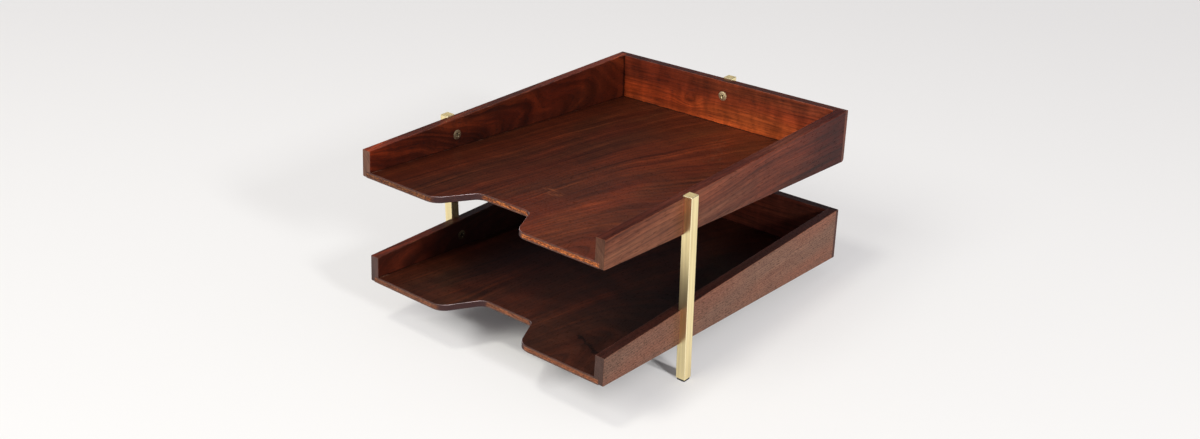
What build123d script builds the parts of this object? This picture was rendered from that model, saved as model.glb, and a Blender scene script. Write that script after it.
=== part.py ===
# Two letter trays, one above the other, open at the front and screwed to three square brass posts.
# Millimetres. +Z is up and +Y points to the closed back, so the open front faces -Y.
# The origin is on the table, under the middle of the rack's outline.
import os
from math import asin, atan, cos, degrees, radians, sin

from build123d import *

# Trays
tray_width = 260.0          # over both side boards
tray_depth = 346.0          # open front to the outer face of the back board
front_height = 24.0         # side board at the open front
rear_height = 50.0          # side board at the back, where the floor lies lowest
board_thickness = 9.0       # side and back boards
floor_thickness = 5.5       # veneered plywood floor
joint_lap = 4.5             # width of every rabbet: floor into the boards, back over the side ends
lower_rim = 65.0            # level top edge of the lower tray above the table
tray_pitch = 98.5           # top edge of one tray to top edge of the next
board_arris = 0.6           # eased edges of the boards
floor_arris = 0.35          # eased front edge of the floor
toe_radius = 1.5            # lower front corner of the side boards
upper_heel_radius = 3.0     # lower rear edge of the upper back board
lower_heel_radius = 1.2     # lower rear edge of the lower back board

# Thumb notch in the front edge of each floor
notch_mouth = 90.0          # width at the front edge, before its corners are rounded
notch_inner = 54.0          # width at the inner end
notch_depth = 35.0
mouth_radius = 14.0         # corners at the front edge
notch_radius = 10.0         # corners at the inner end

# Posts and feet
post_size = 9.0             # square brass bar
post_recess = 2.2           # depth of the notches that hold the tray walls
post_from_front = 101.5     # middle of the side posts behind the open front
post_lip = 1.5              # bar left above the upper tray's top edge
post_arris = 0.7            # eased edges of the bar
foot_size = 8.0             # thin square glide
foot_thickness = 1.5
foot_corner = 1.2

# Screws: countersunk, with a low dome and a cross recess
screw_drop = 15.0           # below the top edge of the tray
shank_diameter = 4.2
head_diameter = 9.0
head_dome = 0.6             # rise of the domed head over the board
screw_length = 14.0         # from the board's face to the tip
sink_angle = 90.0           # included angle of the countersink
screw_clearance = 0.1       # round the shank and under the head
bore_spare = 0.7            # blind bore in the post beyond the screw's tip
recess_span = 5.0           # cross recess, from wing end to wing end at the top
recess_end = 1.6            # the same at its bottom
recess_width = 1.15         # thickness of a wing
recess_depth = 2.4

# How far each cross recess was left turned when its screw was driven, in degrees
screw_turns = {
    "lower_left": 12.0,
    "lower_right": 48.0,
    "lower_rear": 70.0,
    "upper_left": 25.0,
    "upper_right": 5.0,
    "upper_rear": 60.0,
}

# Places that follow from the sizes above
rims = {"lower": lower_rim, "upper": lower_rim + tray_pitch}
heel_radii = {"lower": lower_heel_radius, "upper": upper_heel_radius}
half_width = tray_width / 2
inner_half_width = half_width - board_thickness
overhang = post_size - post_recess
front_y = -(tray_depth + overhang) / 2
back_y = front_y + tray_depth
back_face_y = back_y - board_thickness
lap_y = back_y - joint_lap
side_post_y = front_y + post_from_front
floor_fall = (rear_height - front_height) / tray_depth
floor_angle = atan(floor_fall)
floor_rise = floor_thickness / cos(floor_angle)
post_offset = half_width + overhang - post_size / 2
post_centres = {
    "left": (-post_offset, side_post_y),
    "right": (post_offset, side_post_y),
    "rear": (0.0, back_y + overhang - post_size / 2),
}
hands = {"left": -1, "right": 1}


def underside(y, rim):
    """Height of a tray's sloping underside at the depth y."""
    return rim - front_height - floor_fall * (y - front_y)


def board_outline(rim, start_y, end_y, lean=0.0):
    """Side view of a tray wall between two depths; lean sets the top of its front end back."""
    return [
        (start_y, underside(start_y, rim)),
        (end_y, underside(end_y, rim)),
        (end_y, rim),
        (start_y + lean, rim),
    ]


def rabbet_outline(rim, start_y, end_y):
    """Side view of the space that the floor takes between two depths."""
    return [
        (start_y, underside(start_y, rim)),
        (end_y, underside(end_y, rim)),
        (end_y, underside(end_y, rim) + floor_rise),
        (start_y, underside(start_y, rim) + floor_rise),
    ]


def screw_seat(level, place):
    """Plane at a screw's middle on the inner face of a tray wall, facing into the tray."""
    height = rims[level] - screw_drop
    turn = radians(screw_turns[level + "_" + place])
    if place == "rear":
        middle = (0, back_face_y, height)
        return Plane(origin=middle, x_dir=(cos(turn), 0, sin(turn)), z_dir=(0, -1, 0))
    hand = hands[place]
    middle = (hand * inner_half_width, side_post_y, height)
    return Plane(origin=middle, x_dir=(0, cos(turn), sin(turn)), z_dir=(-hand, 0, 0))


def bore_for_screw(level, place):
    """Countersunk clearance hole through a tray wall."""
    with Locations(screw_seat(level, place)):
        CounterSinkHole(
            radius=shank_diameter / 2 + screw_clearance,
            counter_sink_radius=head_diameter / 2 + screw_clearance,
            depth=board_thickness,
            counter_sink_angle=sink_angle,
        )


def finish(part, name):
    """Name a finished piece and write it."""
    part.label = name
    export_step(part, "parts/" + name + ".step")


def make_side(level, place):
    """Side board: tapered, front end square to its lower edge, rabbeted for the floor."""
    rim = rims[level]
    hand = hands[place]
    inner_face = Plane.YZ.offset(hand * inner_half_width)
    with BuildPart() as board:
        with BuildSketch(inner_face):
            Polygon(*board_outline(rim, front_y, lap_y, front_height * floor_fall), align=None)
        extrude(amount=hand * board_thickness)
        toe = board.faces().sort_by(Axis.Y)[0].edges().sort_by(Axis.Z)[0]
        fillet(toe, radius=toe_radius)
        rear_edges = board.faces().sort_by(Axis.Y)[-1].edges()
        fillet(board.edges() - rear_edges, radius=board_arris)
        with BuildSketch(inner_face):
            Polygon(*rabbet_outline(rim, front_y - board_thickness, lap_y), align=None)
        extrude(amount=hand * joint_lap, mode=Mode.SUBTRACT)
        bore_for_screw(level, place)
    finish(board.part, level + "_" + place + "_side")


def make_back(level):
    """Back board: stands between the sides, and its ends lap over theirs."""
    rim = rims[level]
    with BuildPart() as board:
        with BuildSketch(Plane.YZ):
            Polygon(*board_outline(rim, back_face_y, back_y), align=None)
        extrude(amount=half_width, both=True)
        heel = board.faces().sort_by(Axis.Y)[-1].edges().sort_by(Axis.Z)[0]
        fillet(heel, radius=heel_radii[level])
        top_edges = board.faces().sort_by(Axis.Z)[-1].edges()
        rear_corners = board.edges().filter_by(Axis.Z).group_by(Axis.Y)[-1]
        fillet(top_edges + rear_corners, radius=board_arris)
        with BuildSketch(Plane.YZ):
            Polygon(*rabbet_outline(rim, back_face_y, lap_y), align=None)
        extrude(amount=half_width, both=True, mode=Mode.SUBTRACT)
        with BuildSketch(Plane.XY.offset(rim)):
            for hand in hands.values():
                with Locations((hand * (half_width - board_thickness / 2), (back_face_y + lap_y) / 2)):
                    Rectangle(board_thickness, lap_y - back_face_y)
        extrude(amount=underside(back_y, rim) - rim, mode=Mode.SUBTRACT)
        bore_for_screw(level, "rear")
    finish(board.part, level + "_back_board")


def make_floor(level):
    """Plywood floor: a flat panel that lies in the rabbets and slopes down to the back."""
    rim = rims[level]
    slope_plane = Plane(
        origin=(0, front_y, underside(front_y, rim)),
        x_dir=(1, 0, 0),
        z_dir=(0, sin(floor_angle), cos(floor_angle)),
    )
    half_panel = inner_half_width + joint_lap
    panel_length = (lap_y - front_y - floor_thickness * sin(floor_angle)) / cos(floor_angle)
    with BuildPart() as panel:
        with BuildSketch(slope_plane) as outline:
            Polygon(
                (-half_panel, 0),
                (-notch_mouth / 2, 0),
                (-notch_inner / 2, notch_depth),
                (notch_inner / 2, notch_depth),
                (notch_mouth / 2, 0),
                (half_panel, 0),
                (half_panel, panel_length),
                (-half_panel, panel_length),
                align=None,
            )
            inner_corners = outline.vertices().group_by(Axis.Y)[1]
            fillet(inner_corners, radius=notch_radius)
            mouth_corners = outline.vertices().group_by(Axis.Y)[0].sort_by(Axis.X)[1:-1]
            fillet(mouth_corners, radius=mouth_radius)
        extrude(amount=floor_thickness)
        rear_edges = panel.faces().sort_by(Axis.Y)[-1].edges()
        side_edges = panel.faces().sort_by(Axis.X)[0].edges() + panel.faces().sort_by(Axis.X)[-1].edges()
        upright_edges = panel.edges().filter_by(Axis((0, 0, 0), slope_plane.z_dir))
        fillet(panel.edges() - rear_edges - side_edges - upright_edges, radius=floor_arris)
    finish(panel.part, level + "_floor_panel")


def make_post(place):
    """Square bar, notched where the walls of both trays seat."""
    with BuildPart() as post:
        with BuildSketch(Plane.XY.offset(foot_thickness)):
            with Locations(post_centres[place]):
                Rectangle(post_size, post_size)
        extrude(amount=rims["upper"] + post_lip - foot_thickness)
        fillet(post.edges(), radius=post_arris)
        for rim in rims.values():
            with BuildSketch(Plane.YZ):
                Polygon(*board_outline(rim, front_y, back_y), align=None)
            extrude(amount=half_width, both=True, mode=Mode.SUBTRACT)
        for level in rims:
            with Locations(screw_seat(level, place).offset(-board_thickness)):
                Hole(
                    radius=shank_diameter / 2 + screw_clearance,
                    depth=screw_length - board_thickness + bore_spare,
                )
    finish(post.part, place + "_post")


def make_foot(place):
    """Thin black glide under a post."""
    with BuildPart() as foot:
        with BuildSketch(Plane.XY):
            with Locations(post_centres[place]):
                RectangleRounded(foot_size, foot_size, foot_corner)
        extrude(amount=foot_thickness)
    finish(foot.part, place + "_foot")


def make_screw(level, place):
    """Countersunk brass screw with a low dome and a cross recess."""
    seat = screw_seat(level, place)
    head_radius = head_diameter / 2
    shank_radius = shank_diameter / 2
    head_height = (head_radius - shank_radius) / (sin(radians(sink_angle / 2)) / cos(radians(sink_angle / 2)))
    dome_radius = (head_radius ** 2 + head_dome ** 2) / (2 * head_dome)
    dome_start = degrees(asin((dome_radius - head_dome) / dome_radius))
    below = (Align.CENTER, Align.CENTER, Align.MAX)
    wing = [
        (-recess_span / 2, head_dome),
        (recess_span / 2, head_dome),
        (recess_end / 2, head_dome - recess_depth),
        (-recess_end / 2, head_dome - recess_depth),
    ]
    with BuildPart(seat) as screw:
        Cone(shank_radius, head_radius, head_height, align=below)
        Cylinder(shank_radius, screw_length, align=below)
        with Locations((0, 0, head_dome - dome_radius)):
            Sphere(dome_radius, arc_size1=dome_start, arc_size2=90, align=None)
        for across in (seat.x_dir, seat.y_dir):
            with BuildSketch(Plane(origin=seat.origin, x_dir=across, z_dir=across.cross(seat.z_dir))):
                Polygon(*wing, align=None)
            extrude(amount=recess_width / 2, both=True, mode=Mode.SUBTRACT)
    finish(screw.part, level + "_" + place + "_screw")


os.makedirs("parts", exist_ok=True)
for level in rims:
    for place in hands:
        make_side(level, place)
    make_back(level)
    make_floor(level)
    for place in post_centres:
        make_screw(level, place)
for place in post_centres:
    make_post(place)
    make_foot(place)
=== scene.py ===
from math import atan, degrees, radians

import bmesh
import bpy
from mathutils import Euler, Matrix, Vector

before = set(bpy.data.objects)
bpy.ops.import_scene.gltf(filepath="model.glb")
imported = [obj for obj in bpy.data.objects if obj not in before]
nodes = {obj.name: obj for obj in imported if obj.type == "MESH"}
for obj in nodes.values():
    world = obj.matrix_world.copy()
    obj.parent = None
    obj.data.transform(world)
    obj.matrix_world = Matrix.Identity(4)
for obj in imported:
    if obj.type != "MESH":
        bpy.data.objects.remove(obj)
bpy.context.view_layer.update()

# Sizes of the rack that the finishes follow, in metres; the floors' turn is in degrees, and slope_stretch is
# their length along the slope for each metre of depth
front_y = -0.1764
back_face_y = 0.1606
inner_half_width = 0.121
half_width = 0.130
post_shadow_y = -0.0712
rims = {"lower": 0.065, "upper": 0.1635}
front_height = 0.024
floor_thickness = 0.0055
floor_fall = 26.0 / 346.0
floor_turn = -degrees(atan(floor_fall))
slope_stretch = 1.0028
rack_middle = (0.0, 0.0, 0.08)

# Values that several finishes share
plain = (1.0, 1.0, 1.0)
half = (0.5, 0.5, 0.5)
grain_relief = {"Strength": 0.25, "Distance": 0.0001}
grit_relief = {"Strength": 0.3, "Distance": 0.0001}
brushed_relief = {"Strength": 0.12, "Distance": 0.00005}
bar_brushing = (3800.0, 3800.0, 26.0)
screw_brushing = (900.0, 900.0, 900.0)

# Colours of wear, and of the painted highlights and glints on the floor panels
worn_timber = (0.22, 0.085, 0.05)
painted_edge_highlight = (0.150, 0.092, 0.084)
painted_notch_highlight = (0.80, 0.68, 0.70)
worn_lacquer_glint = (0.36, 0.19, 0.12)
pale_fleck = (0.26, 0.075, 0.028)

# How much of the table's look is plain white, and how much of that a side post's shadow takes away
glow_under_rack = 0.05
glow_beside_rack = 0.42
glow_far_off = 0.53
post_shadow_strength = 0.88


# Small steps for building finishes

def feed(tree, value, socket):
    """Link an output to a socket, or set the plain value on it."""
    if isinstance(value, bpy.types.NodeSocket):
        tree.links.new(value, socket)
    elif socket.type == "RGBA":
        socket.default_value = (*value, 1.0)
    else:
        socket.default_value = value


def add(tree, kind, inputs=None, **settings):
    """Add a node with its settings and inputs."""
    made = tree.nodes.new(kind)
    for name, value in settings.items():
        setattr(made, name, value)
    for socket, value in (inputs or {}).items():
        feed(tree, value, made.inputs[socket])
    return made


def calc(tree, operation, first, second=0.0, third=0.0):
    """One sum on numbers."""
    inputs = {0: first, 1: second, 2: third}
    return add(tree, "ShaderNodeMath", inputs, operation=operation).outputs[0]


def vector_calc(tree, operation, first, second=(0.0, 0.0, 0.0)):
    """One sum on vectors."""
    made = add(tree, "ShaderNodeVectorMath", {0: first, 1: second}, operation=operation)
    return made.outputs["Value" if operation in ("LENGTH", "DOT_PRODUCT") else "Vector"]


def grade(tree, value, low, high, to_low=0.0, to_high=1.0):
    """Smooth step of a number from one range to another."""
    inputs = {"Value": value, "From Min": low, "From Max": high, "To Min": to_low, "To Max": to_high}
    return add(tree, "ShaderNodeMapRange", inputs, interpolation_type="SMOOTHSTEP").outputs["Result"]


def blend_colour(tree, share, first, second, how="MIX"):
    """Mix two colours."""
    made = add(tree, "ShaderNodeMix", {0: share, 6: first, 7: second}, data_type="RGBA", blend_type=how)
    return made.outputs[2]


def scale_colour(tree, colour, factor):
    """Lighten or darken a colour by a number."""
    made = add(tree, "ShaderNodeVectorMath", {0: colour, "Scale": factor}, operation="SCALE")
    return made.outputs["Vector"]


def cloud(tree, place, stretch, detail=2.0, roughness=0.5, output="Fac"):
    """Noise over a place stretched by a vector of turns per metre."""
    at = vector_calc(tree, "MULTIPLY", place, stretch)
    inputs = {"Vector": at, "Scale": 1.0, "Detail": detail, "Roughness": roughness}
    return add(tree, "ShaderNodeTexNoise", inputs).outputs[output]


def cloud_at(tree, place, stretch, seed, detail):
    """Coloured noise, three values at once, for bending a place."""
    at = vector_calc(tree, "ADD", vector_calc(tree, "MULTIPLY", place, stretch), seed)
    made = add(tree, "ShaderNodeTexNoise", {"Vector": at, "Scale": 1.0, "Detail": detail})
    return made.outputs["Color"]


def left_by(tree, mask, strength):
    """What a mask of some strength leaves: 1 where it is empty, less where it is full."""
    return calc(tree, "SUBTRACT", 1.0, calc(tree, "MULTIPLY", mask, strength))


def seen_directly(tree):
    """1 for what camera and gloss see, 0 for the light that falls on other things."""
    ray = tree.nodes.new("ShaderNodeLightPath").outputs
    return calc(tree, "MAXIMUM", ray["Is Camera Ray"], ray["Is Glossy Ray"])


def rough_surface(tree, shader, height, relief):
    """Fine relief on a shader's normal."""
    bump = add(tree, "ShaderNodeBump", {"Height": height, **relief})
    feed(tree, bump.outputs["Normal"], shader.inputs["Normal"])


def combine(tree, x, y, z):
    """A vector from its three parts."""
    return add(tree, "ShaderNodeCombineXYZ", {0: x, 1: y, 2: z}).outputs[0]


def separate(tree, vector):
    """The three parts of a vector, by the names X, Y and Z."""
    return add(tree, "ShaderNodeSeparateXYZ", {0: vector}).outputs


def largest_part(tree, normal):
    """Largest part of a normal along one axis: 1 on a flat face, less on a rounded arris."""
    parts = separate(tree, vector_calc(tree, "ABSOLUTE", normal))
    return calc(tree, "MAXIMUM", parts["X"], calc(tree, "MAXIMUM", parts["Y"], parts["Z"]))


def new_group(name, inputs, outputs):
    """A node group with named inputs and outputs."""
    group = bpy.data.node_groups.new(name, "ShaderNodeTree")
    for label, kind, value in inputs:
        socket = group.interface.new_socket(label, in_out="INPUT", socket_type="NodeSocket" + kind)
        socket.default_value = (*value, 1.0) if kind == "Color" else value
    for label, kind in outputs:
        group.interface.new_socket(label, in_out="OUTPUT", socket_type="NodeSocket" + kind)
    return group, group.nodes.new("NodeGroupInput").outputs, group.nodes.new("NodeGroupOutput").inputs


def place_group(tree, group, **inputs):
    """Put a group into a finish; the inputs are given with underscores for spaces."""
    made = tree.nodes.new("ShaderNodeGroup")
    made.node_tree = group
    for label, value in inputs.items():
        feed(tree, value, made.inputs[label.replace("_", " ").title()])
    return made.outputs


def new_finish(name):
    """An empty material with its shader."""
    material = bpy.data.materials.new(name)
    material.use_nodes = True
    tree = material.node_tree
    tree.nodes.clear()
    output = tree.nodes.new("ShaderNodeOutputMaterial")
    shader = tree.nodes.new("ShaderNodeBsdfPrincipled")
    tree.links.new(shader.outputs["BSDF"], output.inputs["Surface"])
    return material, tree, shader


# Timber: growth rings round a pith line that runs along Y, cut by the board's faces

def make_timber_group():
    """Solid timber or veneer as its cut face shows it, in grain coordinates; a knot is placed in them too."""
    group, given, made = new_group(
        "timber",
        [
            ("Place", "Vector", (0.0, 0.0, 0.0)),
            ("Dark", "Color", (0.02, 0.006, 0.003)),
            ("Middle", "Color", (0.07, 0.018, 0.008)),
            ("Light", "Color", (0.16, 0.04, 0.014)),
            ("Seed", "Float", 0.0),
            ("Wave", "Float", 0.004),
            ("Figure", "Float", 0.0),
            ("Ring Width", "Float", 0.004),
            ("Streaks", "Float", 0.5),
            ("Pores", "Float", 0.0),
            ("Pore Depth", "Float", 0.42),
            ("Pore Pattern", "Vector", (1500.0, 125.0, 1500.0)),
            ("Shimmer", "Float", 0.22),
            ("Broad", "Float", 1.0),
            ("Narrow", "Float", 1.0),
            ("Knot", "Vector", (0.0, 0.0, 10.0)),
            ("Knot Size", "Float", 0.01),
            ("Knot Push", "Float", 0.0),
        ],
        [("Color", "Color"), ("Tone", "Float"), ("Roughness", "Float"), ("Height", "Float")],
    )
    seed = combine(group, 0.0, 0.0, given["Seed"])
    place = given["Place"]

    # Slow and quick waves of the grain across its run
    slow = vector_calc(group, "SUBTRACT", cloud_at(group, place, (13.0, 4.0, 13.0), seed, 2.0), half)
    quick = vector_calc(group, "SUBTRACT", cloud_at(group, place, (80.0, 13.0, 80.0), seed, 2.0), half)
    bend = vector_calc(group, "ADD", vector_calc(group, "MULTIPLY", slow, (4.0, 0.0, 4.0)),
                       vector_calc(group, "MULTIPLY", quick, (0.55, 0.0, 0.55)))
    bend = scale_colour(group, bend, given["Wave"])
    swirl = vector_calc(group, "SUBTRACT", cloud_at(group, place, (24.0, 15.0, 24.0), seed, 1.0), half)
    bend = vector_calc(group, "ADD", bend, scale_colour(group, swirl, given["Figure"]))
    bent = vector_calc(group, "ADD", place, bend)
    radius = vector_calc(group, "LENGTH", vector_calc(group, "MULTIPLY", bent, (1.0, 0.0, 1.0)))

    # A knot pushes the rings aside and darkens them
    from_knot = vector_calc(group, "SUBTRACT", place, given["Knot"])
    from_knot = vector_calc(group, "LENGTH", vector_calc(group, "MULTIPLY", from_knot, (1.0, 0.5, 1.0)))
    from_knot = calc(group, "DIVIDE", from_knot, given["Knot Size"])
    squared = calc(group, "MULTIPLY", from_knot, from_knot)
    knot = calc(group, "EXPONENT", calc(group, "MULTIPLY", squared, -1.0))
    radius = calc(group, "ADD", radius, calc(group, "MULTIPLY", knot, given["Knot Push"]))

    along = separate(group, place)["Y"]

    def bands(across, lengthwise, detail, shift):
        """Noise that follows the rings, by its turns per metre across and along them."""
        at = combine(group, calc(group, "MULTIPLY", radius, across),
                     calc(group, "MULTIPLY", along, lengthwise), calc(group, "ADD", given["Seed"], shift))
        made_noise = add(group, "ShaderNodeTexNoise", {"Vector": at, "Scale": 1.0, "Detail": detail})
        return made_noise.outputs["Fac"]

    broad = bands(60.0, 2.5, 2.0, 0.0)
    narrow = bands(250.0, 8.0, 2.0, 3.7)
    fine = bands(1050.0, 24.0, 2.0, 7.9)
    tone = calc(group, "MULTIPLY", calc(group, "SUBTRACT", broad, 0.5), given["Broad"])
    detail = calc(group, "MULTIPLY", calc(group, "SUBTRACT", narrow, 0.5), 1.2)
    detail = calc(group, "ADD", detail, calc(group, "MULTIPLY", calc(group, "SUBTRACT", fine, 0.5), 0.7))
    tone = calc(group, "ADD", calc(group, "MULTIPLY_ADD", detail, given["Narrow"], 0.5), tone)
    feed(group, tone, made["Tone"])
    colour = blend_colour(group, grade(group, tone, 0.05, 0.5), given["Dark"], given["Middle"])
    colour = blend_colour(group, grade(group, tone, 0.5, 0.98), colour, given["Light"])

    # Dark mineral streaks, late wood of each ring, fibres, pores, and cross-grain shimmer, which is a painted
    # sheen
    streak = grade(group, bands(150.0, 4.5, 3.0, 12.3), 0.54, 0.70)
    streak = calc(group, "MULTIPLY", streak, given["Streaks"])
    ring = calc(group, "FRACT", calc(group, "ADD", calc(group, "DIVIDE", radius, given["Ring Width"]),
                                     calc(group, "MULTIPLY", narrow, 1.2)))
    late = calc(group, "MULTIPLY", grade(group, ring, 0.45, 0.93), grade(group, ring, 0.93, 1.0, 1.0, 0.0))
    fibre = cloud(group, bent, (2100.0, 42.0, 2100.0), 2.0)
    pore = calc(group, "ADD", cloud(group, bent, given["Pore Pattern"], 1.0), given["Pores"])
    pore = grade(group, pore, 0.60, 0.70)
    shimmer = cloud(group, bent, (34.0, 75.0, 34.0), 3.0, 0.6)
    factor = left_by(group, streak, 0.68)
    factor = calc(group, "MULTIPLY", factor, left_by(group, late, 0.28))
    factor = calc(group, "MULTIPLY", factor, grade(group, fibre, 0.2, 0.8, 0.80, 1.20))
    factor = calc(group, "MULTIPLY", factor, left_by(group, pore, given["Pore Depth"]))
    dull, bright = (calc(group, how, 1.0, given["Shimmer"]) for how in ("SUBTRACT", "ADD"))
    factor = calc(group, "MULTIPLY", factor, grade(group, shimmer, 0.28, 0.72, dull, bright))
    heart = calc(group, "POWER", knot, 4.0)
    dark_heart = calc(group, "MULTIPLY", heart, calc(group, "GREATER_THAN", given["Knot Push"], 0.0))
    factor = calc(group, "MULTIPLY", factor, left_by(group, dark_heart, 0.6))

    # Warmer and cooler patches
    warmth = grade(group, cloud(group, bent, (38.0, 7.0, 38.0), 1.0), 0.3, 0.7)
    tint = blend_colour(group, warmth, (0.90, 1.04, 1.08), (1.10, 0.97, 0.90))
    colour = blend_colour(group, 1.0, colour, tint, "MULTIPLY")
    feed(group, scale_colour(group, colour, factor), made["Color"])
    rough = calc(group, "ADD", 0.36, calc(group, "MULTIPLY", pore, 0.18))
    rough = calc(group, "ADD", rough, calc(group, "MULTIPLY", fibre, 0.10))
    feed(group, rough, made["Roughness"])
    feed(group, calc(group, "SUBTRACT", calc(group, "MULTIPLY", fibre, 0.35), pore), made["Height"])
    return group


timber = make_timber_group()


def turned(turn):
    """Rotation of a board's grain, from degrees."""
    return [radians(angle) for angle in turn]


def grain_place(tree, pith, turn):
    """Object coordinates laid along a board's grain: its pith line runs along Y through the pith point."""
    where = tree.nodes.new("ShaderNodeTexCoord")
    mapping = add(tree, "ShaderNodeMapping", {"Vector": where.outputs["Object"]}, vector_type="TEXTURE")
    mapping.inputs["Location"].default_value = pith
    mapping.inputs["Rotation"].default_value = turned(turn)
    return mapping.outputs["Vector"], where.outputs["Normal"]


def in_grain(point, pith, turn):
    """A point of the rack in a board's grain coordinates."""
    return Euler(turned(turn)).to_matrix().inverted() @ (Vector(point) - Vector(pith))


def make_tint_shift_group():
    """Shifts a colour from a first tint to a last one, as a value goes from low to high."""
    group, given, made = new_group(
        "tint_shift",
        [
            ("Color", "Color", (0.1, 0.05, 0.03)),
            ("Value", "Float", 0.0),
            ("Low", "Float", 0.0),
            ("High", "Float", 1.0),
            ("First", "Color", plain),
            ("Last", "Color", plain),
        ],
        [("Color", "Color")],
    )
    share = grade(group, given["Value"], given["Low"], given["High"])
    tint = blend_colour(group, share, given["First"], given["Last"])
    feed(group, blend_colour(group, 1.0, given["Color"], tint, "MULTIPLY"), made["Color"])
    return group


def make_crease_group():
    """Painted shade, with dirt and thick lacquer, in an inner corner: full at the corner, gone at the reach.
    """
    group, given, made = new_group(
        "crease",
        [("Place", "Vector", (0.0, 0.0, 0.0)), ("Distance", "Float", 0.0), ("Reach", "Float", 0.0015)],
        [("Mask", "Float")],
    )
    ragged = grade(group, cloud(group, given["Place"], (160.0, 160.0, 160.0)), 0.3, 0.7, 0.55, 1.25)
    reach = calc(group, "MULTIPLY", given["Reach"], ragged)
    away = calc(group, "DIVIDE", calc(group, "ABSOLUTE", given["Distance"]), reach)
    feed(group, grade(group, away, 0.25, 1.0, 1.0, 0.0), made["Mask"])
    return group


def make_end_grain_group():
    """Sawn end of a board: pores seen end on, with the rings showing through."""
    group, given, made = new_group(
        "end_grain",
        [
            ("Place", "Vector", (0.0, 0.0, 0.0)),
            ("Face", "Color", (0.1, 0.05, 0.03)),
            ("Tone", "Float", 0.5),
            ("End", "Color", (0.1, 0.05, 0.03)),
        ],
        [("Color", "Color")],
    )
    lines = cloud(group, given["Place"], (900.0, 900.0, 45.0))
    sawn = scale_colour(group, given["End"], grade(group, given["Tone"], 0.2, 0.8, 0.75, 1.22))
    sawn = scale_colour(group, sawn, grade(group, lines, 0.3, 0.7, 0.78, 1.2))
    feed(group, blend_colour(group, 0.25, sawn, given["Face"]), made["Color"])
    return group


def make_rubbed_arris_group():
    """Patches along a rounded arris where the lacquer has rubbed thin."""
    group, given, made = new_group(
        "rubbed_arris",
        [("Place", "Vector", (0.0, 0.0, 0.0)), ("Normal", "Vector", (0.0, 0.0, 1.0))],
        [("Mask", "Float")],
    )
    largest = largest_part(group, given["Normal"])
    patches = grade(group, cloud(group, given["Place"], (90.0, 90.0, 90.0)), 0.40, 0.68)
    feed(group, calc(group, "MULTIPLY", grade(group, largest, 0.985, 0.85), patches), made["Mask"])
    return group


def make_edge_glints_group():
    """Painted glints of worn lacquer: pale specks in a thin band along the side boards, fewer towards the
    back.
    """
    group, given, made = new_group(
        "edge_glints",
        [("Panel", "Vector", (0.0, 0.0, 0.0)), ("Gap", "Float", 0.0)],
        [("Mask", "Float")],
    )
    specks = grade(group, cloud(group, given["Panel"], (700.0, 75.0, 1.0), 3.0, 0.7), 0.57, 0.63)
    band = calc(group, "MULTIPLY", grade(group, given["Gap"], -0.0022, -0.0012),
                grade(group, given["Gap"], -0.0006, 0.0, 1.0, 0.0))
    fewer = grade(group, separate(group, given["Panel"])["Y"], 0.02, 0.05, 1.0, 0.25)
    feed(group, calc(group, "MULTIPLY", specks, calc(group, "MULTIPLY", band, fewer)), made["Mask"])
    return group


def make_cut_ply_group():
    """Cut edge of plywood by height above its underside: face layers round a core with slanting flecks."""
    group, given, made = new_group(
        "cut_ply",
        [
            ("Panel", "Vector", (0.0, 0.0, 0.0)),
            ("Side", "Float", 0.0),
            ("Core Dark", "Color", (0.36, 0.09, 0.02)),
            ("Core Light", "Color", (0.60, 0.19, 0.05)),
            ("Fleck", "Color", (0.060, 0.017, 0.009)),
            ("Fleck Share", "Float", 0.9),
            ("Layer", "Color", (0.13, 0.075, 0.055)),
            ("Side Cut", "Color", (0.035, 0.015, 0.016)),
            ("Left Tint", "Color", plain),
        ],
        [("Color", "Color"), ("Edge", "Float")],
    )
    spots = separate(group, given["Panel"])
    height = spots["Z"]
    wavy = calc(group, "MULTIPLY_ADD", cloud(group, given["Panel"], (170.0, 170.0, 1.0)), 0.0006, height)
    core = calc(group, "MULTIPLY", grade(group, wavy, 0.0014, 0.0019),
                grade(group, wavy, floor_thickness - 0.0014, floor_thickness - 0.0009, 1.0, 0.0))
    edge = calc(group, "MULTIPLY", grade(group, height, 0.0002, 0.0004),
                grade(group, height, floor_thickness - 0.0008, floor_thickness - 0.0006, 1.0, 0.0))
    ply_tone = grade(group, cloud(group, given["Panel"], (90.0, 90.0, 700.0)), 0.35, 0.65)
    inner = blend_colour(group, ply_tone, given["Core Dark"], given["Core Light"])
    slanting = combine(group, calc(group, "MULTIPLY_ADD", height, 1.6, spots["X"]), spots["Y"], height)
    fleck = cloud(group, slanting, (470.0, 470.0, 1700.0), 5.0, 0.60)
    fleck = calc(group, "MULTIPLY", grade(group, fleck, 0.43, 0.55), given["Fleck Share"])
    inner = blend_colour(group, fleck, inner, given["Fleck"])
    fibres = cloud(group, slanting, (2400.0, 2400.0, 9000.0), 3.0, 0.6)
    inner = scale_colour(group, inner, grade(group, fibres, 0.3, 0.7, 0.72, 1.22))
    glue = calc(group, "ABSOLUTE", calc(group, "SUBTRACT", wavy, floor_thickness * 0.55))
    inner = scale_colour(group, inner, grade(group, glue, 0.00005, 0.00022, 0.55, 1.0))
    tint = blend_colour(group, grade(group, spots["X"], -0.075, 0.035), given["Left Tint"], plain)
    inner = blend_colour(group, 1.0, inner, tint, "MULTIPLY")
    outer = blend_colour(group, calc(group, "MULTIPLY", fleck, 0.7), given["Layer"], given["Fleck"])
    outer = scale_colour(group, outer, grade(group, fibres, 0.3, 0.7, 0.8, 1.15))
    ply = blend_colour(group, core, outer, inner)
    ply = blend_colour(group, calc(group, "MULTIPLY", given["Side"], 0.93), ply, given["Side Cut"])
    feed(group, ply, made["Color"])
    feed(group, edge, made["Edge"])
    return group


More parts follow.
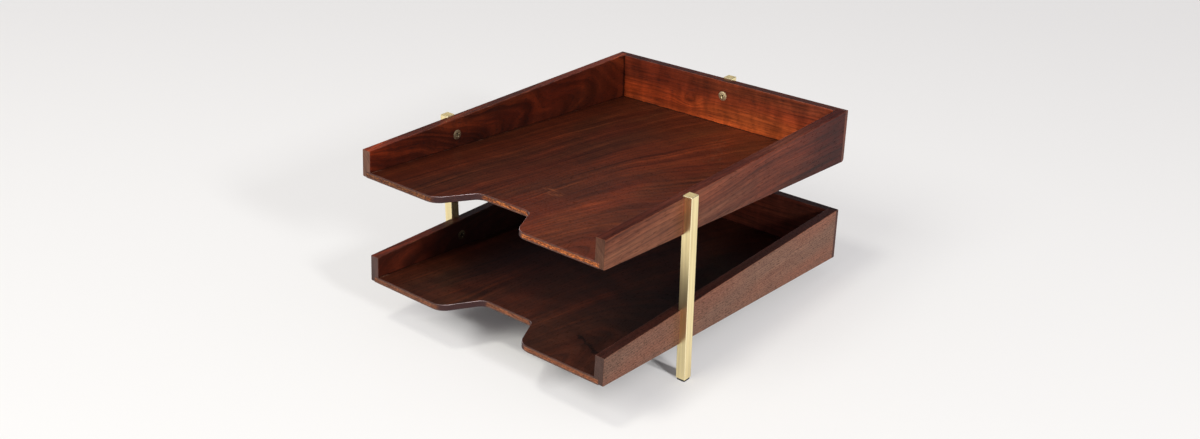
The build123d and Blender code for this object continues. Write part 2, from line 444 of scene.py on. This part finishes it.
def make_painted_arris_highlight_group():
    """Painted highlight in patches along the upper arris of a cut edge; rise is how far the surface looks up
    from the panel."""
    group, given, made = new_group(
        "painted_arris_highlight",
        [("Panel", "Vector", (0.0, 0.0, 0.0)), ("Rise", "Float", 1.0)],
        [("Mask", "Float")],
    )
    arris = calc(group, "MULTIPLY", grade(group, given["Rise"], 0.25, 0.5),
                 grade(group, given["Rise"], 0.90, 0.98, 1.0, 0.0))
    patches = grade(group, cloud(group, given["Panel"], (70.0, 70.0, 70.0)), 0.35, 0.6, 0.45, 1.0)
    feed(group, calc(group, "MULTIPLY", arris, patches), made["Mask"])
    return group


def make_brushed_brass_group():
    """Brushing, tarnish patches, and polished arrises with a painted highlight; brushing is its turns per
    metre on each axis, and a filed top is duller."""
    group, given, made = new_group(
        "brushed_brass",
        [
            ("Place", "Vector", (0.0, 0.0, 0.0)),
            ("Normal", "Vector", (0.0, 0.0, 1.0)),
            ("Brushing", "Vector", screw_brushing),
            ("Clean", "Color", (0.9, 0.78, 0.47)),
            ("Tarnish", "Color", (0.64, 0.49, 0.24)),
            ("Arris", "Color", (1.0, 0.90, 0.62)),
            ("Tarnish Share", "Float", 0.3),
            ("Roughness", "Float", 0.25),
        ],
        [("Color", "Color"), ("Roughness", "Float"), ("Height", "Float")],
    )
    brush = cloud(group, given["Place"], given["Brushing"], 3.0, 0.6)
    patches = cloud(group, given["Place"], (70.0, 70.0, 22.0), 4.0, 0.6)
    share = calc(group, "MULTIPLY", grade(group, patches, 0.42, 0.72), given["Tarnish Share"])
    colour = blend_colour(group, share, given["Clean"], given["Tarnish"])
    colour = scale_colour(group, colour, grade(group, brush, 0.25, 0.75, 0.90, 1.07))
    wide_brushing = vector_calc(group, "MULTIPLY", given["Brushing"], (0.11, 0.11, 0.30))
    wide = cloud(group, given["Place"], wide_brushing)
    colour = scale_colour(group, colour, grade(group, wide, 0.3, 0.7, 0.91, 1.08))
    # Arrises: polished brass, paler with a painted highlight, and smoother
    arris = grade(group, largest_part(group, given["Normal"]), 0.97, 0.85)
    polish_and_highlight = calc(group, "MULTIPLY", arris, 0.75)
    feed(group, blend_colour(group, polish_and_highlight, colour, given["Arris"]), made["Color"])
    filed = grade(group, separate(group, given["Normal"])["Z"], 0.8, 0.95)
    rough = calc(group, "MULTIPLY_ADD", brush, 0.12, given["Roughness"])
    rough = calc(group, "MULTIPLY_ADD", share, 0.15, rough)
    rough = calc(group, "MULTIPLY_ADD", arris, -0.10, rough)
    feed(group, calc(group, "MULTIPLY_ADD", filed, 0.34, rough), made["Roughness"])
    feed(group, brush, made["Height"])
    return group


def make_recess_dirt_group():
    """Dirt in a screw's cross, from just under the head's face down; distance and face are measured from the
    rack's middle."""
    group, given, made = new_group(
        "recess_dirt",
        [("Distance", "Float", 0.0), ("Face", "Float", 0.12)],
        [("Mask", "Float")],
    )
    under = calc(group, "SUBTRACT", calc(group, "ABSOLUTE", given["Distance"]), given["Face"])
    feed(group, grade(group, under, 0.0001, 0.0007), made["Mask"])
    return group


tint_shift = make_tint_shift_group()
crease = make_crease_group()
end_grain = make_end_grain_group()
rubbed_arris = make_rubbed_arris_group()
edge_glints = make_edge_glints_group()
cut_ply = make_cut_ply_group()
painted_arris_highlight = make_painted_arris_highlight_group()
brushed_brass = make_brushed_brass_group()
recess_dirt = make_recess_dirt_group()


def drift(tree, colour, values, shifts):
    """Shift a colour's tint along the named values, such as X or Y."""
    for along, low, high, first, last in shifts:
        colour = place_group(tree, tint_shift, color=colour, value=values[along], low=low, high=high,
                             first=first, last=last)["Color"]
    return colour


def darken(tree, colour, mask, strength):
    """Darken a colour where the mask is full."""
    return scale_colour(tree, colour, left_by(tree, mask, strength))


def panel_place(tree, level):
    """Coordinates on a tray's floor panel: X across, Y down the slope from the front, Z up from the
    underside."""
    return grain_place(tree, (0.0, front_y, rims[level] - front_height), (floor_turn, 0.0, 0.0))


def board_finish(name, level, inside, gloss, pith, turn, dark, middle, light, end_axis, end_colour, painted_top_light,
                 knot=None, drifts=(), painted_top_light_drifts=(), corner_shade_and_dirt=0.72, **grain):
    """Satin lacquered solid timber. Inside is the way the board's inner face looks, and end_axis the object
    axis that its end grain faces. Drifts shift its tint along X, Y, Z or the height above the floor."""
    material, tree, shader = new_finish(name)
    place, normal = grain_place(tree, pith, turn)
    if knot:
        grain["knot"] = in_grain(knot, pith, turn)
    wood = place_group(tree, timber, place=place, dark=dark, middle=middle, light=light, **grain)
    axes = separate(tree, normal)
    where = tree.nodes.new("ShaderNodeTexCoord").outputs["Object"]
    spots = separate(tree, where)
    panel, _ = panel_place(tree, level)
    above = calc(tree, "SUBTRACT", separate(tree, panel)["Z"], floor_thickness)
    values = {"X": spots["X"], "Y": spots["Y"], "Z": spots["Z"], "above": above}
    colour = drift(tree, wood["Color"], values, drifts)

    # End grain, and painted light and shade on the top edge
    end = grade(tree, calc(tree, "ABSOLUTE", axes[end_axis]), 0.55, 0.85)
    sawn = place_group(tree, end_grain, place=where, face=wood["Color"], tone=wood["Tone"], end=end_colour)
    colour = blend_colour(tree, end, colour, sawn["Color"])
    painted_top_light = drift(tree, painted_top_light, values, painted_top_light_drifts)
    colour = drift(tree, colour, {"up": axes["Z"]}, [("up", 0.70, 0.95, plain, painted_top_light)])

    # Painted shade, with some dirt, where the inner face meets the floor and the next board
    faces_in = grade(tree, vector_calc(tree, "DOT_PRODUCT", normal, inside), 0.6, 0.9)
    if end_axis == "X":
        aside = calc(tree, "SUBTRACT", calc(tree, "ABSOLUTE", spots["X"]), inner_half_width)
    else:
        aside = calc(tree, "SUBTRACT", spots["Y"], back_face_y)
    corner = calc(tree, "MAXIMUM",
                  place_group(tree, crease, place=where, distance=above, reach=0.0012)["Mask"],
                  place_group(tree, crease, place=where, distance=aside, reach=0.0024)["Mask"])
    colour = darken(tree, colour, calc(tree, "MULTIPLY", corner, faces_in), corner_shade_and_dirt)

    # Lacquer rubbed thin along the arrises
    arris_mark = place_group(tree, rubbed_arris, place=where, normal=normal)["Mask"]
    worn = blend_colour(tree, 0.6, colour, worn_timber)
    colour = blend_colour(tree, calc(tree, "MULTIPLY", arris_mark, 0.6), colour, worn)
    feed(tree, colour, shader.inputs["Base Color"])
    feed(tree, calc(tree, "MULTIPLY_ADD", end, 0.12, wood["Roughness"]), shader.inputs["Roughness"])
    shader.inputs["Specular IOR Level"].default_value = gloss
    rough_surface(tree, shader, wood["Height"], grain_relief)
    return material


def cross_flecks(tree, panel, middle, size):
    """A small patch of short pale flecks that lie across the grain."""
    offset = vector_calc(tree, "SUBTRACT", panel, (*middle, 0.0))
    share = vector_calc(tree, "MULTIPLY", offset, (1.0 / size[0], 1.0 / size[1], 0.0))
    spread = vector_calc(tree, "LENGTH", share)
    leaning = separate(tree, offset)
    along = calc(tree, "MULTIPLY_ADD", leaning["X"], 0.18, leaning["Y"])
    at = combine(tree, calc(tree, "MULTIPLY", leaning["X"], 70.0), calc(tree, "MULTIPLY", along, 520.0), 3.0)
    dash = add(tree, "ShaderNodeTexNoise", {"Vector": at, "Scale": 1.0, "Detail": 1.0}).outputs["Fac"]
    return calc(tree, "MULTIPLY", grade(tree, spread, 0.45, 1.0, 1.0, 0.0), grade(tree, dash, 0.48, 0.58))


def ink_line(tree, panel, first, last, thickness):
    """A crooked dark line of changing thickness between two points of the panel."""
    first, last = Vector((*first, 0.0)), Vector((*last, 0.0))
    length = (last - first).length
    way = (last - first) / length
    bent = cloud(tree, panel, (210.0, 210.0, 1.0), 2.0, output="Color")
    bent = scale_colour(tree, vector_calc(tree, "SUBTRACT", bent, half), 0.012)
    offset = vector_calc(tree, "SUBTRACT", vector_calc(tree, "ADD", panel, bent), (first + last) / 2.0)
    along = calc(tree, "ABSOLUTE", vector_calc(tree, "DOT_PRODUCT", offset, way))
    across = calc(tree, "ABSOLUTE", vector_calc(tree, "DOT_PRODUCT", offset, (-way.y, way.x, 0.0)))
    width = grade(tree, cloud(tree, panel, (160.0, 160.0, 1.0)), 0.35, 0.6, thickness * 0.45, thickness)
    across = calc(tree, "DIVIDE", across, width)
    return calc(tree, "MULTIPLY", grade(tree, across, 0.3, 1.0, 1.0, 0.0),
                grade(tree, along, length * 0.44, length * 0.53, 1.0, 0.0))


def floor_finish(name, level, pith_x, pith_depth, pith_fall, dark, middle, light, ply, flecks=None, mark=None,
                 drifts=(), **grain):
    """Veneered plywood: dark face veneers over an orange core that shows at the cut edges. The pith line of
    its grain is placed by its distance across, its depth under the front edge and its fall to the back, in
    degrees."""
    material, tree, shader = new_finish(name)
    panel, normal = panel_place(tree, level)
    pith = (pith_x, front_y, rims[level] - front_height - pith_depth)
    place, _ = grain_place(tree, pith, (floor_turn - pith_fall, 0.0, 0.0))
    wood = place_group(tree, timber, place=place, dark=dark, middle=middle, light=light, **grain)
    spots = separate(tree, panel)
    colour = drift(tree, wood["Color"], spots, drifts)
    if flecks:
        pale = cross_flecks(tree, panel, *flecks)
        colour = blend_colour(tree, calc(tree, "MULTIPLY", pale, 0.55), colour, pale_fleck)
    if mark:
        colour = darken(tree, colour, ink_line(tree, panel, *mark), 0.80)

    # Painted shade, with some dirt, in the corners along the boards, and painted glints of worn lacquer
    # beside them
    side_gap = calc(tree, "SUBTRACT", calc(tree, "ABSOLUTE", spots["X"]), inner_half_width)
    back_gap = calc(tree, "SUBTRACT", spots["Y"], (back_face_y - front_y) * slope_stretch)
    corner = calc(tree, "MAXIMUM",
                  place_group(tree, crease, place=panel, distance=side_gap, reach=0.0014)["Mask"],
                  place_group(tree, crease, place=panel, distance=back_gap, reach=0.0018)["Mask"])
    colour = darken(tree, colour, corner, 0.6)
    glints = place_group(tree, edge_glints, panel=panel, gap=side_gap)["Mask"]
    colour = blend_colour(tree, calc(tree, "MULTIPLY", glints, 0.7), colour, worn_lacquer_glint)

    # Cut edge: flecked core at the front, nearly black sides in the notch, and a painted highlight along the
    # upper arris
    side = grade(tree, calc(tree, "ABSOLUTE", separate(tree, normal)["X"]), 0.18, 0.55)
    cut = place_group(tree, cut_ply, panel=panel, side=side, **ply)
    colour = blend_colour(tree, cut["Edge"], colour, cut["Color"])
    upright = Euler(turned((floor_turn, 0.0, 0.0))).to_matrix() @ Vector((0.0, 0.0, 1.0))
    rise = vector_calc(tree, "DOT_PRODUCT", normal, upright)
    arris_highlight = place_group(tree, painted_arris_highlight, panel=panel, rise=rise)["Mask"]
    arris_mark = blend_colour(tree, side, painted_edge_highlight, painted_notch_highlight)
    highlight_share = calc(tree, "MULTIPLY", arris_highlight, grade(tree, side, 0.0, 1.0, 0.6, 0.85))
    feed(tree, blend_colour(tree, highlight_share, colour, arris_mark), shader.inputs["Base Color"])
    rough = calc(tree, "MULTIPLY_ADD", cut["Edge"], 0.12, wood["Roughness"])
    feed(tree, calc(tree, "MULTIPLY_ADD", arris_highlight, -0.16, rough), shader.inputs["Roughness"])
    shader.inputs["Specular IOR Level"].default_value = 0.16
    rough_surface(tree, shader, wood["Height"], grain_relief)
    return material


def brass_finish(name, clean, tarnish, tarnish_share, roughness, brushing, recess=None):
    """Brushed satin brass with slight tarnish; recess gives a screw's axis, the head's face, as a distance
    from the middle along it, and how dark the dirt in its cross is."""
    material, tree, shader = new_finish(name)
    where = tree.nodes.new("ShaderNodeTexCoord").outputs
    brass = place_group(tree, brushed_brass, place=where["Object"], normal=where["Normal"], brushing=brushing,
                        clean=clean, tarnish=tarnish, tarnish_share=tarnish_share, roughness=roughness)
    colour = brass["Color"]
    if recess:
        axis, face, strength = recess
        distance = separate(tree, where["Object"])[axis]
        dirt = place_group(tree, recess_dirt, distance=distance, face=face)["Mask"]
        colour = darken(tree, colour, dirt, strength)
    feed(tree, colour, shader.inputs["Base Color"])
    shader.inputs["Metallic"].default_value = 1.0
    feed(tree, brass["Roughness"], shader.inputs["Roughness"])
    rough_surface(tree, shader, brass["Height"], brushed_relief)
    return material


def rubber_finish(name):
    """Black rubber of the feet, with a little dust."""
    material, tree, shader = new_finish(name)
    where = tree.nodes.new("ShaderNodeTexCoord").outputs["Object"]
    grit = cloud(tree, where, (2500.0, 2500.0, 2500.0), 2.0)
    dust = cloud(tree, where, (400.0, 400.0, 400.0), 2.0)
    base = blend_colour(tree, grade(tree, dust, 0.4, 0.8), (0.010, 0.010, 0.010), (0.030, 0.028, 0.026))
    feed(tree, base, shader.inputs["Base Color"])
    feed(tree, calc(tree, "MULTIPLY_ADD", grit, 0.25, 0.6), shader.inputs["Roughness"])
    rough_surface(tree, shader, grit, grit_relief)
    return material


def dress(node, material):
    """Give a piece its finish in every slot."""
    mesh = nodes[node].data
    mesh.materials.clear()
    mesh.materials.append(material)


# Boards: pith and turn lay the grain, dark, middle and light are the wood's three colours
dress("upper_left_side", board_finish(
    "upper_left_timber", "upper", inside=(1.0, 0.0, 0.0), gloss=0.22,
    pith=(-0.160, 0.0, 0.138), turn=(0.0, 0.0, 6.0),
    dark=(0.021, 0.0033, 0.0015), middle=(0.067, 0.0096, 0.0033), light=(0.17, 0.025, 0.0065),
    end_axis="Y", end_colour=(0.13, 0.064, 0.040), painted_top_light=(1.55, 1.80, 2.1), corner_shade_and_dirt=0.35,
    painted_top_light_drifts=[
        ("Y", -0.17, -0.12, (1.15, 1.25, 1.25), (0.85, 0.85, 0.85)),
        ("Y", 0.0, 0.06, plain, (1.3, 1.3, 1.3)),
    ],
    drifts=[
        ("Y", -0.172, -0.115, (1.55, 1.35, 1.05), plain),
        ("Y", -0.10, -0.05, (0.74, 0.76, 0.80), (0.56, 0.58, 0.62)),
        ("Y", -0.02, 0.05, plain, (1.60, 1.55, 1.45)),
        ("Y", 0.04, 0.11, plain, (1.18, 1.18, 1.16)),
        ("above", 0.001, 0.016, (0.80, 0.88, 0.96), plain),
    ],
    seed=2.6, wave=0.005, figure=0.009, ring_width=0.0042, streaks=0.5, broad=1.35, narrow=1.0))
dress("upper_right_side", board_finish(
    "upper_right_timber", "upper", inside=(-1.0, 0.0, 0.0), gloss=0.10,
    pith=(0.060, 0.0, 0.085), turn=(1.5, 0.0, 0.5),
    dark=(0.060, 0.015, 0.008), middle=(0.172, 0.050, 0.024), light=(0.31, 0.100, 0.047),
    end_axis="Y", end_colour=(0.065, 0.032, 0.020), painted_top_light=(0.46, 0.33, 0.36),
    drifts=[
        ("Y", -0.08, -0.04, plain, (0.81, 0.80, 0.85)),
        ("Y", -0.03, 0.05, plain, (0.945, 0.61, 0.51)),
        ("Y", 0.05, 0.15, plain, (0.42, 0.24, 0.25)),
    ],
    painted_top_light_drifts=[("Y", -0.02, 0.10, plain, (2.0, 4.1, 4.9))],
    seed=4.1, wave=0.003, ring_width=0.003, streaks=0.7, broad=1.1, narrow=0.9, shimmer=0.10,
    pores=0.02, pore_depth=0.36, pore_pattern=(1500.0, 150.0, 1500.0)))
dress("upper_back_board", board_finish(
    "upper_back_timber", "upper", inside=(0.0, -1.0, 0.0), gloss=0.28,
    pith=(0.0, 0.135, 0.060), turn=(0.0, 0.0, -90.0),
    dark=(0.085, 0.014, 0.0044), middle=(0.280, 0.050, 0.0122), light=(0.53, 0.104, 0.023),
    end_axis="X", end_colour=(0.09, 0.035, 0.022), painted_top_light=(0.30, 0.30, 0.36), corner_shade_and_dirt=0.88,
    drifts=[
        ("X", -0.09, 0.05, (0.56, 0.50, 0.58), (0.92, 0.92, 0.92)),
        ("X", 0.05, 0.11, plain, (1.28, 1.30, 1.50)),
        ("Z", 0.126, 0.148, (1.85, 1.70, 1.3), (0.74, 0.70, 0.84)),
    ],
    seed=7.7, wave=0.004, ring_width=0.004, streaks=0.35, broad=0.95, narrow=0.6, shimmer=0.30,
    knot=(-0.038, back_face_y, 0.1354), knot_size=0.006, knot_push=0.010))
dress("lower_left_side", board_finish(
    "lower_left_timber", "lower", inside=(1.0, 0.0, 0.0), gloss=0.26,
    pith=(-0.158, 0.0, 0.040), turn=(0.0, 0.0, -5.0),
    dark=(0.022, 0.0042, 0.0023), middle=(0.066, 0.0125, 0.0055), light=(0.16, 0.032, 0.012),
    end_axis="Y", end_colour=(0.085, 0.050, 0.043), painted_top_light=(1.7, 1.65, 1.4),
    # Lighter at the front and darker towards the back: painted shade under the upper tray
    drifts=[("Y", -0.15, -0.07, (1.25, 1.12, 1.0), (0.32, 0.29, 0.30))],
    corner_shade_and_dirt=0.40,
    seed=11.9, wave=0.005, figure=0.005, ring_width=0.0038, streaks=0.5, broad=1.2, narrow=0.9))
dress("lower_right_side", board_finish(
    "lower_right_timber", "lower", inside=(-1.0, 0.0, 0.0), gloss=0.18,
    pith=(0.010, 0.0, -0.250), turn=(-0.5, 0.0, 0.5),
    dark=(0.140, 0.050, 0.028), middle=(0.196, 0.077, 0.044), light=(0.24, 0.100, 0.058),
    end_axis="Y", end_colour=(0.031, 0.0195, 0.0185), painted_top_light=(0.25, 0.17, 0.19),
    drifts=[("Y", -0.15, 0.12, (0.94, 1.0, 1.05), (1.14, 1.16, 1.16))],
    seed=15.2, wave=0.0025, ring_width=0.0022, streaks=0.1, broad=0.4, narrow=0.7, shimmer=0.06,
    pores=0.08, pore_depth=0.52, pore_pattern=(1900.0, 430.0, 1900.0)))
dress("lower_back_board", board_finish(
    "lower_back_timber", "lower", inside=(0.0, -1.0, 0.0), gloss=0.20,
    pith=(0.0, 0.125, -0.010), turn=(0.0, 0.0, -90.0),
    dark=(0.036, 0.0072, 0.0040), middle=(0.094, 0.0185, 0.0098), light=(0.175, 0.038, 0.0165),
    end_axis="X", end_colour=(0.08, 0.032, 0.022), painted_top_light=(0.4, 0.4, 0.45),
    seed=19.4, wave=0.004, ring_width=0.004, streaks=0.5, broad=1.2, narrow=0.8))

# Floor panels: the ply values are the colours and flecks of the cut edge; flecks and mark lie on the panel
dress("upper_floor_panel", floor_finish(
    "upper_floor_ply", "upper", pith_x=0.103, pith_depth=0.012, pith_fall=14.5,
    dark=(0.025, 0.0050, 0.0019), middle=(0.061, 0.0122, 0.0040), light=(0.140, 0.029, 0.0080),
    ply={
        "core_dark": (0.40, 0.090, 0.018), "core_light": (0.70, 0.210, 0.047), "layer": (0.120, 0.064, 0.046),
        "fleck": (0.060, 0.017, 0.009), "fleck_share": 0.92, "left_tint": (0.42, 0.50, 0.64),
    },
    flecks=((0.0110, 0.0796), (0.0145, 0.0085)),
    drifts=[
        ("X", -0.05, 0.07, plain, (1.95, 1.78, 1.55)),
        ("X", -0.120, -0.03, (0.74, 0.68, 0.66), plain),
        ("Y", 0.02, 0.20, plain, (0.92, 0.92, 0.90)),
    ],
    seed=23.0, wave=0.006, ring_width=0.0042, streaks=0.62, broad=0.42, narrow=0.78, shimmer=0.13))
dress("lower_floor_panel", floor_finish(
    "lower_floor_ply", "lower", pith_x=0.085, pith_depth=0.014, pith_fall=10.0,
    dark=(0.019, 0.0052, 0.0030), middle=(0.044, 0.0108, 0.0050), light=(0.096, 0.0215, 0.0078),
    ply={
        "core_dark": (0.21, 0.065, 0.024), "core_light": (0.36, 0.118, 0.046), "layer": (0.140, 0.074, 0.050),
        "fleck": (0.050, 0.017, 0.010), "fleck_share": 0.70, "left_tint": (0.80, 0.85, 0.95),
    },
    mark=((0.0695, 0.0437), (0.1001, 0.0296), 0.0024),
    drifts=[
        ("Y", 0.02, 0.12, (1.12, 1.15, 1.15), (0.90, 0.88, 0.90)),
        ("Y", 0.05, 0.11, plain, (0.68, 0.63, 0.63)),
    ],
    seed=27.5, wave=0.006, ring_width=0.0042, streaks=0.5, broad=0.9, narrow=0.9))

# Brass and rubber
post_brass = brass_finish(
    "satin_post_brass", clean=(0.98, 0.82, 0.45), tarnish=(0.74, 0.56, 0.26), tarnish_share=0.24,
    roughness=0.25, brushing=bar_brushing)
dull_screw = brass_finish(
    "dull_screw_brass", clean=(0.46, 0.37, 0.22), tarnish=(0.20, 0.155, 0.09), tarnish_share=0.7,
    roughness=0.36, brushing=screw_brushing, recess=("X", inner_half_width, 0.85))
# A darker copy of the dull screw brass for the lower side screws: painted shade
shaded_screw = brass_finish(
    "painted_shade_screw_brass", clean=(0.130, 0.098, 0.057), tarnish=(0.065, 0.047, 0.030), tarnish_share=0.7,
    roughness=0.42, brushing=screw_brushing, recess=("X", inner_half_width, 0.85))
bright_screw = brass_finish(
    "bright_screw_brass", clean=(0.98, 0.80, 0.48), tarnish=(0.62, 0.46, 0.25), tarnish_share=0.35,
    roughness=0.40, brushing=screw_brushing, recess=("Y", back_face_y, 0.58))
rubber = rubber_finish("black_rubber")
for place in ("left", "right", "rear"):
    dress(place + "_post", post_brass)
    dress(place + "_foot", rubber)
    for level in rims:
        side_screw = dull_screw if level == "upper" else shaded_screw
        dress(level + "_" + place + "_screw", bright_screw if place == "rear" else side_screw)


# Table, light and camera

def make_table():
    """Wide pale table top, that camera and gloss see part lit and part white. The white part is small under
    the rack and beside the side posts' feet, so shadows are deep there and light elsewhere, and it is nearly
    all far off."""
    mesh = bpy.data.meshes.new("table")
    shape = bmesh.new()
    bmesh.ops.create_grid(shape, x_segments=1, y_segments=1, size=15.0)
    shape.to_mesh(mesh)
    shape.free()
    table = bpy.data.objects.new("table", mesh)
    bpy.context.scene.collection.objects.link(table)
    material, tree, shader = new_finish("pale_table")
    shader.inputs["Base Color"].default_value = (0.81, 0.815, 0.785, 1.0)
    shader.inputs["Roughness"].default_value = 0.6
    shader.inputs["Specular IOR Level"].default_value = 0.25
    glow = add(tree, "ShaderNodeEmission", {"Color": (0.945, 0.918, 0.915), "Strength": 1.0})
    where = tree.nodes.new("ShaderNodeTexCoord").outputs["Object"]
    spots = separate(tree, vector_calc(tree, "ABSOLUTE", where))
    outside = calc(tree, "MAXIMUM", calc(tree, "SUBTRACT", spots["X"], half_width),
                   calc(tree, "SUBTRACT", spots["Y"], -front_y))
    near = grade(tree, outside, -0.060, -0.012, glow_under_rack, glow_beside_rack)
    from_post = calc(tree, "ABSOLUTE", calc(tree, "SUBTRACT", separate(tree, where)["Y"], post_shadow_y))
    inner_end = grade(tree, spots["X"], 0.080, 0.100)
    outer_end = grade(tree, spots["X"], half_width - 0.004, half_width - 0.002, 1.0, 0.0)
    post_shadow = calc(tree, "MULTIPLY", grade(tree, from_post, 0.0035, 0.0065, 1.0, 0.0),
                       calc(tree, "MULTIPLY", inner_end, outer_end))
    near = calc(tree, "MULTIPLY", near, left_by(tree, post_shadow, post_shadow_strength))
    far = grade(tree, vector_calc(tree, "LENGTH", where), 0.6, 4.5, 0.0, glow_far_off)
    share = calc(tree, "MULTIPLY", seen_directly(tree), calc(tree, "ADD", near, far))
    both = add(tree, "ShaderNodeMixShader", {0: share})
    tree.links.new(shader.outputs["BSDF"], both.inputs[1])
    tree.links.new(glow.outputs["Emission"], both.inputs[2])
    output = next(each for each in tree.nodes if each.type == "OUTPUT_MATERIAL")
    tree.links.new(both.outputs["Shader"], output.inputs["Surface"])
    mesh.materials.append(material)


def add_softbox(name, bearing, height, distance, size, energy, colour):
    """Square soft light that faces the rack, placed by its bearing from +X and its height, in degrees, and
    its distance from the rack's middle."""
    lamp = bpy.data.lights.new(name, "AREA")
    lamp.shape = "SQUARE"
    lamp.size = size
    lamp.energy = energy
    lamp.color = colour
    towards = Euler((0.0, -radians(height), radians(bearing))).to_matrix() @ Vector((1.0, 0.0, 0.0))
    stand = bpy.data.objects.new(name, lamp)
    stand.location = Vector(rack_middle) + towards * distance
    stand.rotation_mode = "QUATERNION"
    stand.rotation_quaternion = (-towards).to_track_quat("-Z", "Y")
    bpy.context.scene.collection.objects.link(stand)


def make_studio():
    """Soft room light, dimmer behind the rack, with a pale backdrop low down that camera and gloss see."""
    room, room_behind, backdrop = (0.475, 0.458, 0.495), (0.085, 0.095, 0.115), (0.86, 0.855, 0.85)
    behind_rack = (-0.488, 0.777, 0.398)
    world = bpy.data.worlds.new("studio")
    world.use_nodes = True
    tree = world.node_tree
    way = tree.nodes.new("ShaderNodeTexCoord").outputs["Generated"]
    behind = grade(tree, vector_calc(tree, "DOT_PRODUCT", way, behind_rack), 0.35, 0.92)
    sky = blend_colour(tree, behind, room, room_behind)
    low_down = grade(tree, separate(tree, way)["Z"], 0.11, 0.22, 1.0, 0.0)
    sky = blend_colour(tree, calc(tree, "MULTIPLY", seen_directly(tree), low_down), sky, backdrop)
    feed(tree, sky, tree.nodes["Background"].inputs["Color"])
    tree.nodes["Background"].inputs["Strength"].default_value = 1.0
    bpy.context.scene.world = world


make_table()
add_softbox("front_softbox", bearing=-100.0, height=42.0, distance=3.2, size=1.4, energy=56.0,
            colour=(1.0, 0.985, 0.95))
add_softbox("overhead_softbox", bearing=-104.0, height=70.0, distance=3.2, size=0.45, energy=26.0,
            colour=(1.0, 0.98, 0.93))
add_softbox("right_softbox", bearing=-18.0, height=26.0, distance=3.0, size=0.35, energy=48.0,
            colour=(0.98, 0.98, 1.0))
make_studio()

# Camera at the photograph's viewing angle
camera_place = (0.63117, -0.79133, 0.56038)
heading, dip, roll = radians(39.3926), radians(-25.5896), radians(0.4897)
camera_data = bpy.data.cameras.new("camera")
camera_data.sensor_width = 36.0
camera_data.lens = 37.649
camera_data.clip_start = 0.01
camera = bpy.data.objects.new("camera", camera_data)
aim = Matrix.Rotation(heading, 4, "Z") @ Matrix.Rotation(radians(90.0) + dip, 4, "X")
aim = aim @ Matrix.Rotation(roll, 4, "Z")
camera.matrix_world = Matrix.Translation(camera_place) @ aim
bpy.context.scene.collection.objects.link(camera)
bpy.context.scene.camera = camera
bpy.context.scene.view_settings.view_transform = "Standard"
